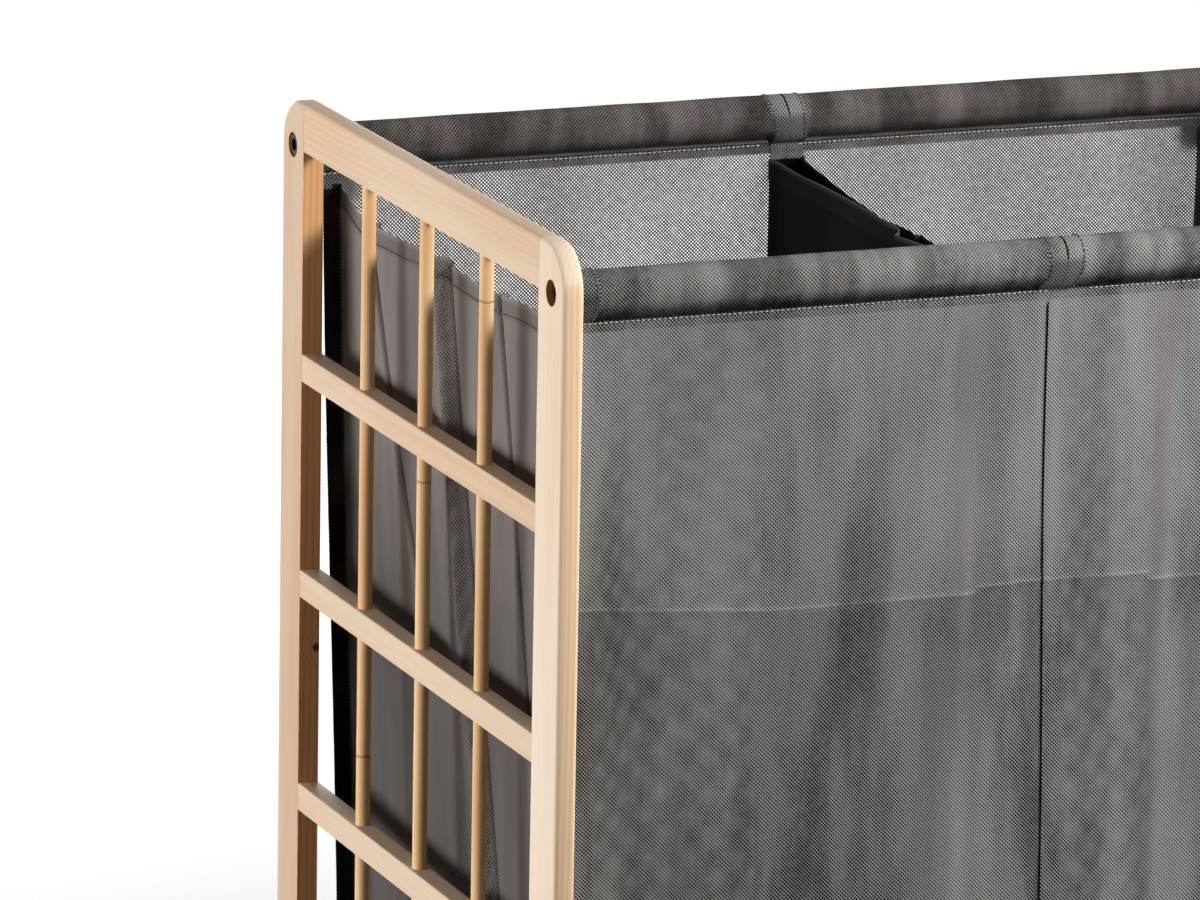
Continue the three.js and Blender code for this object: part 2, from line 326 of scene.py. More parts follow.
def bamboo_finish(name, node_height, seed):
    finish, tree, shader = new_finish(name)
    place = own_place(tree)
    parts = split_up(place)
    fibre = speckle(place, (900.0, 900.0, 9.0), 3.0, seed)
    tint = speckle(place, (60.0, 60.0, 5.0), 2.0, seed + 2)
    wave = times(speckle(place, (260.0,) * 3, 1.0, seed), node_wave)
    height = plus(parts[along_z], wave)
    gap = size_of(minus(height, node_height))
    ring = fade(gap, node_band, node_band * 0.3)
    swelling = fade(gap, node_band * 6, node_band)
    colour = blend_of(fade(tint, 0.35, 0.7), bamboo_pale, bamboo_tan)
    colour = blend_of(fade(fibre, 0.5, 0.72, 0, 0.5), colour, bamboo_tan)
    colour = blend_of(times(ring, 0.75), colour, bamboo_ring)
    coat(shader, colour, 0.5, 0.16)
    raised(shader, minus(plus(fibre, swelling), times(ring, 1.5)), 0.3, 0.0003)
    return finish


for seed, (dowel, node_height) in enumerate(node_heights.items()):
    dress(dowel, bamboo_finish(f"{dowel}_bamboo", node_height, 1.3 * seed))

# Rods. Turned 20 mm softwood, sanded and left raw, with a threaded insert in each end. The two upper ones
# sit in the bags' sleeves and show through the cloth, and the two lower ones brace the frames.
rod_pale = paint(226, 190, 146)
rod_line = paint(190, 142, 96)


def rod_finish():
    finish, tree, shader = new_finish("rod_wood")
    place = own_place(tree)
    fibre = speckle(place, (11.0, 800.0, 800.0), 3.0)
    band = speckle(place, (3.0, 240.0, 240.0), 2.0, 5)
    colour = blend_of(fade(band, 0.42, 0.62), rod_pale, rod_line)
    colour = blend_of(fade(fibre, 0.5, 0.75, 0, 0.5), colour, rod_line)
    coat(shader, colour, 0.7, 0.12)
    raised(shader, fibre, 0.3, 0.0003)
    return finish


rod_wood = rod_finish()
rod_names = ["front_top", "back_top", "front_bottom", "back_bottom"]
for rod_name in rod_names:
    dress(f"{rod_name}_rod", rod_wood)

# Bolts and inserts. The bolts are black-oxided steel with a hexagon socket, sunk in the frames' outer faces
# and screwed into zinc-plated inserts in the rods. The oxide is thin on the heads' edges.
black_oxide = paint(22, 23, 27)
worn_steel = paint(48, 46, 50)
zinc_pale = paint(196, 192, 180)
zinc_dull = paint(150, 146, 132)


def metal_finish(name, face, worn, roughness, metal):
    finish, tree, shader = new_finish(name)
    place = own_place(tree)
    geometry = tree.nodes.new("ShaderNodeNewGeometry")
    rubbed = times(fade(geometry.outputs["Pointiness"], 0.52, 0.58), 0.3)
    stain = speckle(place, (700.0,) * 3, 3.0)
    mark = plus(rubbed, fade(stain, 0.6, 0.8, 0, 0.25))
    colour = blend_of(mark, face, worn)
    uneven = fade(stain, 0.3, 0.7, roughness - 0.08, roughness + 0.12)
    coat(shader, colour, uneven, 0.5)
    shader.inputs["Metallic"].default_value = metal
    raised(shader, stain, 0.08, 0.0002)
    return finish


bolt_steel = metal_finish("bolt_black", black_oxide, worn_steel, 0.4, 0.3)
insert_zinc = metal_finish("insert_zinc", zinc_pale, zinc_dull, 0.34, 1.0)
for frame_side in ("left", "right"):
    for rod_name in rod_names:
        dress(f"{frame_side}_{rod_name}_bolt", bolt_steel)
        dress(f"{frame_side}_{rod_name}_insert", insert_zinc)

# Cloth of the bags. A dark grey open weave: threads that cross on the slant and leave rows of small round
# holes, staggered like the five on a die, half filled with fluff where the cloth was pressed. The threads are
# painted lit on top and in shade where they pass under, and holes that are not clear are painted near-black
# as shade. The end panels are pressed smooth, and the back panels' weave is browner where it is filled.
hole_pitch = 0.002136
hole_share = 0.42
hole_blur = 0.06
thread_shade = paint(66, 65, 64)
thread_even = paint(120, 114, 111)
hole_shade = paint(12, 11, 11)


def weave_finish(name, thread_lit, thread_pressed):
    """The weave, drawn on the cut places of the cloth, which are its UV map "cut", in metres."""
    finish, tree, shader = new_finish(name)
    cut_map = tree.nodes.new("ShaderNodeUVMap")
    cut_map.uv_map = "cut"
    cut = cut_map.outputs[0]
    marks = []
    for layer in ("tone", "clear", "dense"):
        mark = tree.nodes.new("ShaderNodeAttribute")
        mark.attribute_name = layer
        marks.append(mark.outputs["Fac"])
    tone, clear, dense = marks
    width, length, _ = split_up(cut)
    slant = maths("DIVIDE", plus(width, length), hole_pitch)
    counter = maths("DIVIDE", minus(width, length), hole_pitch)
    from_slant = maths("PINGPONG", slant, 0.5)
    from_counter = maths("PINGPONG", counter, 0.5)
    from_hole = distance_of(from_slant, from_counter)
    uneven = times(minus(speckle(cut, (260.0,) * 3), 0.5), 0.16)
    patchy = speckle(cut, (34.0, 6.0, 6.0), 3.0, 2)
    small_patch = speckle(cut, (110.0, 40.0, 40.0), 2.0, 8)
    pressed = plus(fade(patchy, 0.38, 0.7, 0, 0.15), fade(small_patch, 0.4, 0.8, 0, 0.09))
    pressed = times(pressed, fade(clear, 0.3, 1.0, 1.0, 0.15))
    pressed = plus(pressed, times(dense, 0.3))
    edge = plus(plus(from_hole, uneven), pressed)
    thread = fade(edge, hole_share - hole_blur, hole_share + hole_blur)
    hole = minus(1, thread)
    feed(shader.inputs["Alpha"], minus(1, times(hole, clear)))
    over = fade(from_counter, 0.1, 0.45)
    under = fade(from_slant, 0.1, 0.45, 0, 0.62)
    crossing = maths("MAXIMUM", over, under)
    lit = blend_of(fade(dense, 0.15, 0.8), thread_lit, thread_pressed)
    # Threads painted lit on top and in shade where they pass under; holes that are not clear painted
    # near-black as shade.
    colour = blend_of(crossing, thread_shade, lit)
    colour = blend_of(fade(dense, 0.75, 1.0, 0, 0.85), colour, thread_even)
    colour = blend_of(hole, colour, hole_shade)
    # The tone mark scales the colour: painted light and shade, and random tone.
    shaded = vector_maths("SCALE", colour)[0]
    cloud = fade(patchy, 0.25, 0.75, 0.82, 1.15)
    feed(shaded.node.inputs["Scale"], times(cloud, tone))
    coat(shader, shaded, fade(patchy, 0.3, 0.7, 0.78, 0.88), 0.04)
    raised(shader, minus(crossing, hole), 0.5, 0.0003)
    return finish


panel_weave = weave_finish("panel_weave", paint(149, 148, 145), paint(146, 148, 149))
end_weave = weave_finish("end_weave", paint(150, 142, 138), paint(150, 142, 138))
back_weave = weave_finish("back_weave", paint(150, 143, 139), paint(126, 100, 86))

# Front and back panels. Each is one cut of cloth. Its top is turned over the rod to the inside and sewn to
# itself below the rod, which makes the sleeve, and the raw edge stands a few millimetres below that seam.
rod_low, rod_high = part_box("front_top_rod")
rod_radius = (rod_high.z - rod_low.z) / 2
rod_z = (rod_high.z + rod_low.z) / 2
front_y = (rod_high.y + rod_low.y) / 2
back_y = -front_y
frame_gap_x = -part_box("left_front_stile")[1].x
base_low, base_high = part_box("left_bag_base")
bag_floor = base_low.z

sleeve_radius = rod_radius + 0.0007
seam_drop = 0.0167
seam_z = rod_z - seam_drop
allowance = 0.0058
allowance_gap = 0.0009
rim_height = seam_z - allowance
drop_length = seam_z - bag_floor
leave_angle = radians(12)
hang_pull = 0.0062
seam_pull = Vector((0.0056, 0.0006))
side_steps = 16
over_steps = 32

flange = 0.0105
flange_round = 0.003
near_round = 0.0012
flange_top_x = 0.2775
flange_taper = {-1: 0.0015, 1: 0.0145}
taper_top = 0.62
flange_lap = 0.0012
lap_depth = 0.0007
lap_fade = 0.004
bag_half_gap = 0.0001
slit_half_gap = 0.0005


def ease(value, start, end):
    share = min(1, max(0, (value - start) / (end - start)))
    return share * share * (3 - 2 * share)


def between(first, second, share):
    return first * (1 - share) + second * share


def hump(offset, width):
    return exp(-(offset / width) ** 2)


def on_line(points, at):
    """The height at a place of a line through (place, height) pairs, in falling order of place."""
    for (high, above), (low, below) in zip(points, points[1:]):
        if at >= low:
            share = min(1, max(0, (high - at) / (high - low)))
            return above + (below - above) * share
    return points[-1][1]


def ripple(place_a, place_b, seed):
    return noise.noise(Vector((place_a, place_b, seed)))


def sewn_piece(name, points, faces, finish):
    mesh = bpy.data.meshes.new(name)
    mesh.from_pydata(points, [], faces)
    mesh.materials.append(finish)
    mesh.shade_smooth()
    piece = bpy.data.objects.new(name, mesh)
    scene.collection.objects.link(piece)
    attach(piece, "root")
    return piece


def lay_cloth(name, across, along, place, weave, measured=False):
    """A sheet of cloth over a grid. For each spot, place gives a point, the same point on the flat cut, and
    three marks: the tone, which carries painted light and shade as well as random tone, how clear the holes
    are, and how densely they are filled. Measured cloth takes its cut from its own folds."""
    points, cuts, marks = [], [], []
    for length in along:
        for number, width in enumerate(across):
            point, cut, mark = place(width, length)
            if measured and number:
                cut = (cuts[-1][0] + (Vector(point) - Vector(points[-1])).length, cut[1])
            points.append(point)
            cuts.append(cut)
            marks.append(mark)
    step = len(across)
    faces = [
        (corner, corner + 1, corner + step + 1, corner + step)
        for row in range(len(along) - 1)
        for corner in range(row * step, row * step + step - 1)
    ]
    sheet = sewn_piece(name, points, faces, weave)
    cut_map = sheet.data.uv_layers.new(name="cut")
    for loop in sheet.data.loops:
        cut_map.data[loop.index].uv = cuts[loop.vertex_index]
    for layer, values in zip(("tone", "clear", "dense"), zip(*marks)):
        sheet.data.attributes.new(layer, "FLOAT", "POINT").data.foreach_set("value", values)
    return sheet


def spaced(low, high, step):
    count = max(1, round((high - low) / step))
    return [low + (high - low) * number / count for number in range(count + 1)]


def sleeve_loop():
    """Places round the sleeve as (inward, height) from the rod's axis, from the seam over the rod and back.
    The cloth hugs the rod, hangs off its side in a puff, and is pulled in sharply where it is sewn."""
    leave = Vector((cos(leave_angle), -sin(leave_angle))) * sleeve_radius
    heading = Vector((-sin(leave_angle), -cos(leave_angle)))
    seam = Vector((0, -seam_drop))
    corners = (leave, leave + heading * hang_pull, seam + seam_pull, seam)
    side = []
    for number in range(side_steps + 1):
        share = number / side_steps
        rest = 1 - share
        weights = (rest ** 3, 3 * rest * rest * share, 3 * rest * share * share, share ** 3)
        side.append(sum((corner * weight for corner, weight in zip(corners, weights)), Vector((0, 0))))
    over = []
    for number in range(1, over_steps):
        angle = -leave_angle + (pi + 2 * leave_angle) * number / over_steps
        over.append(Vector((cos(angle), sin(angle))) * sleeve_radius)
    return side[::-1] + over + [Vector((-point.x, point.y)) for point in side]


loop_places = sleeve_loop()
loop_ways = [0]
for place_before, place_after in zip(loop_places, loop_places[1:]):
    loop_ways.append(loop_ways[-1] + (place_after - place_before).length)
loop_length = loop_ways[-1]
loop_end = allowance + loop_length
panel_length = allowance + loop_length + drop_length


def sleeve_section(way):
    for number in range(1, len(loop_ways)):
        if way <= loop_ways[number]:
            share = (way - loop_ways[number - 1]) / (loop_ways[number] - loop_ways[number - 1])
            return loop_places[number - 1].lerp(loop_places[number], share)
    return loop_places[-1]


def puff(x, way, seed):
    """How far a sleeve's cloth stands off its plain section, at a way round from the seam."""
    turn = pi * way / loop_length
    slack = sin(turn) * 0.0004 * (1 + ripple(x * 30, way * 60, seed))
    return slack + 0.0005 * sin(turn * 2) ** 2 * ripple(x * 70 + way * 220, way * 50, seed + 3)


def between_bags(side, height):
    """Where the two bags meet along X, at the front (side -1) or the back (side 1)."""
    if side < 0:
        return -0.0098 + 0.0053 * ease(height, 0.5, 0.2) + 0.0045 * ease(height, rim_height, rod_z - 0.004)
    return 0.001 + 0.0042 * ease(height, rod_z + sleeve_radius, seam_z)


def sleeve_end(bag_side, side, height):
    """Where a sleeve ends by the other bag. The two sleeves gape a little over the rod."""
    gape = slit_half_gap * ease(height, rod_z - 0.002, rod_z + sleeve_radius * 0.5)
    return between_bags(side, height) + bag_side * (bag_half_gap + gape)


def rounded_top(height, radius=flange_round):
    """How far the flange's edge is drawn in near its rounded upper end."""
    down = min(radius, rim_height - height)
    if down < 0:
        return 0
    return radius - sqrt(radius ** 2 - (radius - down) ** 2)


def far_corner(side, height):
    """Where the flange by the end frame starts, as a distance from the hamper's middle."""
    return flange_top_x - flange_taper[side] * ease(height, taper_top, 0.0) - flange


def far_edge(side, height):
    return far_corner(side, height) + flange - rounded_top(height)


def near_corner(bag_side, side, height):
    """Where the flange by the other bag starts, along X."""
    return between_bags(side, height) + bag_side * (bag_half_gap + flange)


def near_edge(bag_side, side, height):
    """The flange's edge by the other bag, along X. The two bags' flanges lap there."""
    inset = (rounded_top(height, near_round) if height < rim_height else 0) - flange_lap
    return between_bags(side, height) + bag_side * inset


def lapped(bag_side, side, x, height):
    """The two bags' flanges pass each other where they lap: the right one lies outside the left one."""
    lap = side * bag_side * lap_depth * ease(abs(x - between_bags(side, height)), 0.006, 0.0015)
    return lap * ease(height, rim_height, rim_height - lap_fade)


seam_slack = 0.0015
double_fill = 0.85
sleeve_clear = 0.12
hanging_clear = {-1: 0.12, 1: 1.0}
upper_fill = 0.42
back_fill = 0.4
sleeve_fill = {-1: -0.1, 1: -0.25}
# The back panels are painted dark, as shade inside the bag; their doubled bands are painted lighter where
# light reaches them, and the front panels' doubled bands are a little darker.
double_tone = {-1: -0.1, 1: 0.7}
hanging_tone = {-1: 1.04, 1: 0.42}
# Sleeve tones: the back sleeves are painted darker as shade, sleeve_shade is painted shade under the rod, and
# sleeve_lit is painted light towards the bags' middle.
sleeve_tone = {-1: 1.12, 1: 0.83}
sleeve_shade = {-1: 0.74, 1: 0.92}
sleeve_lit = 0.13
crease_height = 0.394
crease_bulge = 0.0032
crease_band = (0.0135, 0.004)
crease_rows = 0.0007
sleeve_rows = 0.0018
rows = 0.003
ridge_x = -0.0585


def crease_at(x):
    """The height of the crosswise crease that the cloth kept from its packing."""
    return crease_height + 0.008 * ease(abs(x), 0.15, 0.28) + 0.0035 * ease(abs(x), 0.052, 0.05)


def panel_relief(bag_side, side, x, height):
    """How far a hanging panel stands out from the plane under its rod."""
    below = max(0, seam_z - height)
    seed = 3.7 * bag_side + 1.9 * side
    loose = 1 - exp(-below / 0.05)
    waves = 0.0017 * loose * ripple(x * 16, height * 2.1, seed)
    waves += 0.0009 * loose * ripple(x * 38, height * 4.5, seed + 9)
    gathers = 0.0006 * exp(-below / 0.03) * (1 - exp(-below / 0.004))
    gathers *= ripple(x * 85, height * 9, seed + 4)
    over = height - crease_at(x)
    sweep = crease_bulge * (ease(over, 0.163, 0) if over > 0 else ease(over, -0.2, 0))
    fold = 0.00075 * exp(-abs(over) / 0.0022)
    ridge = 0.0008 * hump(abs(x) + ridge_x, 0.006) * loose
    held = ease(abs(x), 0.268, 0.25) * ease(abs(x - between_bags(side, height)), 0.011, 0.03)
    return ((waves + gathers + sweep + ridge) * held + fold) * ease(height, bag_floor, bag_floor + 0.035)


def smooth_patch(x, height):
    """Where a front panel was pressed smooth: a strip along its ridge and a wider patch below the crease."""
    strip = hump(abs(x) + ridge_x, 0.0075) * ease(height, 0.3, 0.42)
    wide = hump(abs(x) - 0.068, 0.02) * ease(height, 0.385, 0.35) * ease(height, 0.16, 0.26)
    return 0.7 * max(strip, wide)


def front_look(x, height, tone, seed):
    """The tone and the fill of a hanging front panel: painted shade towards the bottom and just below its
    crease, a pale painted highlight and a fainter one along the crease, and a lighter tone towards the middle
    below it.
    """
    share = upper_fill * ease(height, 0.34, 0.5)
    dense = min(0.9, share + smooth_patch(x, height) + 0.6 * share * ripple(x * 34, height * 3, seed + 6))
    over = height - crease_at(x)
    tone += 0.19 * ripple(x * 32, height * 2.2, seed + 8) - 0.2 * ease(height, 0.5, 0.34)
    tone += 0.08 * ease(abs(x), 0.18, 0.09) * ease(height, 0.39, 0.35)
    tone += 0.16 * ripple(x * 95, height * 5, seed + 11) * ease(height, 0.42, 0.36)
    tone += 0.4 * hump(over, 0.0008) - 0.1 * ease(over, 0, -0.0016) * ease(over, -0.09, -0.01)
    tone += 0.25 * hump(over + 0.0022, 0.0007) * ease(abs(abs(x) - 0.13), 0.045, 0.02)
    return tone, dense


def sleeve_look(side, x, way, height, seed):
    """The tone and the fill of a sleeve: streaks round the rod, painted shade under it, the back sleeves
    painted darker as shade, and painted light towards the bags' middle.
    """
    lower = 1 - ease(height, seam_z + 0.002, rod_z - 0.005)
    streak = 0.22 * ripple(x * 300, way * 9, seed + 7) + 0.05 * ripple(x * 110, way * 5, seed + 9)
    tone = sleeve_tone[side] * (1 - streak * (1 + 0.6 * lower)) * (1 - sleeve_shade[side] * lower)
    return tone * (1 + sleeve_lit * ease(abs(x), 0.19, 0.08)), sleeve_fill[side] - 0.3 * lower


def hang_panel(bag, bag_side, panel, side):
    rod_y = side * back_y
    inward = -side
    hang_start = loop_end + allowance
    crease_way = loop_end + rod_z - seam_drop - crease_height
    crease_start = crease_way - crease_band[0]
    crease_end = crease_way + crease_band[1]
    along = [0, allowance * 0.5, allowance]
    along += spaced(allowance, loop_end, sleeve_rows)[1:]
    along += spaced(loop_end, hang_start, 0.0014)[1:]
    along += spaced(hang_start + 0.0006, crease_start, rows)
    along += spaced(crease_start, crease_end, crease_rows)[1:]
    along += spaced(crease_end, panel_length, rows)[1:]

    def place(share, way):
        seed = 5.3 * bag_side + 2.7 * side
        if way <= allowance:
            offset, height = allowance_gap * (1 - way / allowance) ** 0.5, -seam_drop - (allowance - way)
        elif way < loop_end:
            offset, height = sleeve_section(way - allowance)
        else:
            offset, height = 0, -seam_drop - (way - loop_end)
        height += rod_z
        if way <= hang_start + 0.0003:
            far = frame_gap_x - 0.001
            near = sleeve_end(bag_side, side, height)
        else:
            far = far_edge(side, height)
            near = near_edge(bag_side, side, height)
        x = near + (bag_side * far - near) * share
        y = rod_y + inward * offset
        if allowance < way < loop_end:
            slack = puff(x, way - allowance, seed)
            away = Vector((offset, height - rod_z)).normalized()
            y += inward * away.x * slack
            height += away.y * slack
        elif way <= allowance:
            y += inward * 0.0004 * ripple(x * 60, way * 90, seed) * (1 - way / allowance)
        else:
            y -= inward * panel_relief(bag_side, side, x, height)
            y += lapped(bag_side, side, x, height)
        in_sleeve = ease(way, allowance + seam_slack, allowance + 2 * seam_slack)
        in_sleeve *= ease(way, loop_end - seam_slack, loop_end - 2 * seam_slack)
        double = 1 if loop_end <= way <= hang_start or way <= allowance else 0
        clear = sleeve_clear * in_sleeve + hanging_clear[side] * (1 - in_sleeve) * (1 - double_fill * double)
        dense = 0
        # Painted shade on the back panels, and lighter painted bands where they are doubled.
        tone = hanging_tone[side] * (1 + double_tone[side] * double)
        if in_sleeve:
            tone, dense = sleeve_look(side, x, way, height, seed)
        elif side < 0 and way > hang_start:
            tone, dense = front_look(x, height, tone, seed)
        elif way > hang_start:
            dense = back_fill + 0.12 * ripple(x * 26, height * 2.5, seed + 6)
            clear *= 1 - 0.8 * ease(abs(x), 0.25, 0.262) * ease(height, 0.532, 0.545)
        return (x, y, height), (x, way), (tone, clear, dense)

    weave = panel_weave if side < 0 else back_weave
    sheet = lay_cloth(f"{bag}_{panel}_cloth", spaced(0, 1, 1 / 140), along, place, weave)
    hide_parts(f"{bag}_{panel}_panel")
    return sheet


# End panels. Each is one cut with its upper edge hemmed to the inside. Its side margins are doubled and sewn
# to the margins of the front and back panels, so that a flange stands out at each corner of the bag.
hem = 0.0122
hem_gap = 0.0007
hem_fold = 0.0006
hem_step = 0.0004
hem_stitch_drop = 0.0024
layer_gap = 0.0006
flange_seat = 0.0002
corner_gap = 0.0012
crown = 0.0028
end_clear = 0.12
# End tones: the inner ends between the bags are painted near-black as shade, with their hem and rim painted
# lighter; the outer rim has a painted highlight and the outer hem band is darker. The flanges, the outer folds
# and the back corner are painted shade.
end_tone = {True: 1.1, False: 0.055}
hem_tone = {True: 0.8, False: 1.5}
hem_fill = 0.6
flange_tone = 0.14
rim_tone = {True: 1.2, False: 9.0}
rim_width = 0.0009
fold_shade = 0.42
fold_shade_width = 0.0016
pleat_number = 1
corner_fill = (0.165, 0.178)
corner_shade = (0.165, 0.185)


def pleat(offset, proud, crest, tail):
    """A fold that rises slowly from behind to its crest and rolls over to the slit in front."""
    if offset >= crest:
        return proud * exp(-(offset - crest) / tail)
    return proud * (1 - cos(pi * max(0, offset) / crest)) / 2


def leaned(fold, down):
    return fold[1] * min(down, fold[2])


def fold_y(fold, down):
    """Where a fold lies at a way down from the rim. A fold is its Y at the rim, its lean and its reach."""
    return fold[0] - leaned(fold, down)


outer_folds = [(0.141, 0.39, 0.2), (0.0147, 0.195, 0.5), (-0.0607, 0.2, 0.5)]
inner_folds = [(0.006, 0.02, 0.5)]


def outer_relief(y, down, seed):
    """Folds of an outer end panel: a long pleat beside the middle, two sharp creases and soft hollows."""
    first, second, third = [y - fold_y(fold, down) for fold in outer_folds]
    short = ease(down, 0.24, 0.14)
    long = ease(down, 0.5, 0.2)
    relief = long * (pleat(second, 0.0085, 0.009, 0.035) - 0.0018 * hump(second, 0.0009))
    relief += short * (0.0026 * exp(-abs(first - 0.004) / 0.012) - 0.0068 * hump(first, 0.0018))
    relief += ease(down, 0.5, 0.12) * (0.0024 * exp(-abs(third) / 0.011) - 0.0064 * hump(third, 0.0022))
    relief += 0.0035 * ripple(y * 9, down * 2.4, seed) + 0.0022 * ripple(y * 19, down * 1.6, seed + 5)
    return relief


def inner_relief(y, down, seed):
    """Folds of an end panel between the bags: one soft pleat near the middle and long hollows."""
    first = y - fold_y(inner_folds[0], down)
    relief = ease(down, 0.5, 0.15) * pleat(first, 0.004, 0.004, 0.05)
    relief += 0.003 * ripple(y * 8, down * 2.4, seed) + 0.0005 * ripple(y * 22, down * 5, seed + 5)
    return relief


outer_rim = [
    (0.2, 0.5505), (0.188, 0.5485), (0.165, 0.5405), (0.15, 0.538), (0.08, 0.541), (0.03, 0.5455),
    (0.0165, 0.546), (0.013, 0.5415), (-0.03, 0.5405), (-0.1, 0.544), (-0.2, 0.545),
]
left_inner_rim = [
    (0.2, 0.5478), (0.15, 0.5466), (0.068, 0.548), (0.012, 0.5462), (0.005, 0.5432), (-0.07, 0.549),
    (-0.2, 0.5485),
]
right_inner_rim = [
    (0.2, 0.5485), (0.122, 0.542), (0.064, 0.539), (0.016, 0.5425), (-0.02, 0.541), (-0.2, 0.546),
]


def fold_columns(low, high, folds):
    """Places across a panel, close together along its folds."""
    narrow, wide = 0.0007, 0.003
    places = []
    at = high
    while at > low + 0.0002:
        places.append(at)
        nearest = min(max(fold[0] - 0.003 - at, at - fold[0] - 0.011, 0) for fold in folds)
        at -= narrow if nearest < narrow else min(wide, 0.5 * nearest + narrow)
    return places + [low]


def end_look(is_far, in_flange, y, down, folds):
    """The tone and the fill of an end panel, with painted shade towards the bottom, in the flanges, along the
    outer folds and at the back corner. An outer one shows some open weave behind its pleat.
    """
    tone = end_tone[is_far] * (1 - 0.48 * ease(down, 0.08, 0.24) * ease(y, -0.24, 0))
    dense = 1.0
    if in_flange:
        tone *= flange_tone
    elif down < hem:
        tone *= rim_tone[is_far] if abs(down) < rim_width else hem_tone[is_far]
        dense = hem_fill
    if is_far:
        for fold in folds:
            in_fold = hump(y - fold_y(fold, max(0, down)), fold_shade_width)
            tone *= 1 - fold_shade * in_fold * ease(down, fold[2] + 0.04, fold[2] - 0.06)
        behind = y - fold_y(folds[pleat_number], max(0, down))
        dense -= 0.8 * ease(behind, 0.055, 0.02) * ease(behind, 0, 0.004) * ease(down, 0.006, 0.016)
        dense -= 0.5 * ease(y, *corner_fill)
        tone *= 1 - 0.5 * ease(y, *corner_shade)
    return tone, dense


def hang_end(bag, bag_side, end, is_far, rim, relief, folds):
    """One end panel. The way across runs from the fold at the back flange round to the one at the front."""
    outward = bag_side if is_far else -bag_side
    seed = 2.9 * bag_side + (1.3 if is_far else 4.1)
    main_back = back_y - corner_gap
    main_front = front_y + corner_gap
    main_width = main_back - main_front
    main_start = 2 * flange
    main_end = main_start + main_width
    across = spaced(0, flange, 0.002) + spaced(flange, main_start, 0.002)[1:]
    across += [main_start + main_back - place for place in fold_columns(main_front, main_back, folds)[1:]]
    across += spaced(main_end, main_end + flange, 0.002)[1:]
    across += spaced(main_end + flange, main_end + 2 * flange, 0.002)[1:]
    end_drop = rim_height - bag_floor
    along = [-hem, -hem * 0.6, -hem * 0.25, -hem_fold, 0, hem_fold]
    along += [hem * 0.3, hem * 0.65, hem - hem_step, hem + hem_step]
    along += spaced(hem + 0.003, end_drop, 0.0034)
    anchors = [(main_back, 0, 0)] + folds + [(main_front, 0, 0)]

    def corner_x(side, height):
        return bag_side * far_corner(side, height) if is_far else near_corner(bag_side, side, height)

    def edge_x(side, height):
        return bag_side * far_edge(side, height) if is_far else near_edge(bag_side, side, height)

    def main_y(flat_y, down):
        """The columns lean with the folds."""
        for behind, ahead in zip(anchors, anchors[1:]):
            if flat_y >= ahead[0]:
                share = min(1, (behind[0] - flat_y) / (behind[0] - ahead[0]))
                return flat_y - between(leaned(behind, down), leaned(ahead, down), share)
        return flat_y

    def off_corners(y, reach):
        return ease(y, main_back, main_back - reach) * ease(y, main_front, main_front + reach)

    def place(way, down):
        side = 1 if way < main_start else -1 if way > main_end else 0
        flat_y = min(main_back, max(main_front, main_back - (way - main_start)))
        y = main_y(flat_y, max(0, down))
        top = on_line(rim, y)
        inside = hem_gap * min(1, -down / hem_fold) if down < 0 else 0
        height = top + down if down < 0 else top - down * (top - bag_floor) / end_drop
        if side:
            from_fold = way - flange if side > 0 else main_end + flange - way
            share = abs(from_fold) / flange
            corner = corner_x(side, height)
            x = corner + (edge_x(side, min(height, rim_height - flange_seat)) - corner) * (1 - share)
            layer = 2 if from_fold * side < 0 else 1
            y = side * (back_y - layer * layer_gap * 0.5 - flange_seat)
            if share > 0.97 and layer == 1:
                y = main_back if side > 0 else main_front
            y -= side * inside * 0.4
            if not is_far:
                y += lapped(bag_side, side, x, height)
        else:
            share = (main_back - y) / main_width
            x = between(corner_x(1, height), corner_x(-1, height), share)
            above_base = ease(height, bag_floor, bag_floor + 0.03)
            x += outward * relief(y, max(0, down), seed) * off_corners(y, 0.02) * above_base
            x += outward * crown * above_base * off_corners(y, 0.008)
            x -= outward * inside
        tone, dense = end_look(is_far, side != 0, y, down, folds)
        return (x, y, height), (way, down), (tone, end_clear, dense)

    def stitch_route(way):
        point = Vector(place(main_start + way, hem - hem_stitch_drop)[0])
        return point + Vector((outward * 0.0002, 0, 0)), Vector((outward, 0, 0))

    sheet = lay_cloth(f"{bag}_{end}_end_cloth", across, along, place, end_weave, True)
    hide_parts(f"{bag}_{end}_end")
    return sheet, (stitch_route, main_width)


# Sleeve hems. Where a sleeve ends, its edge is turned back for 10 mm and sewn down round the rod, which
# shows as a paler double band at each end of each sleeve.
sleeve_hem = 0.0103
hem_lift = 0.0003
hem_tail = 0.004
# The bands' lower half, under the rod, is painted darker as shade.
band_tone = {-1: 1.05, 1: 1.15}
band_shade = 0.62
band_seam = 0.86


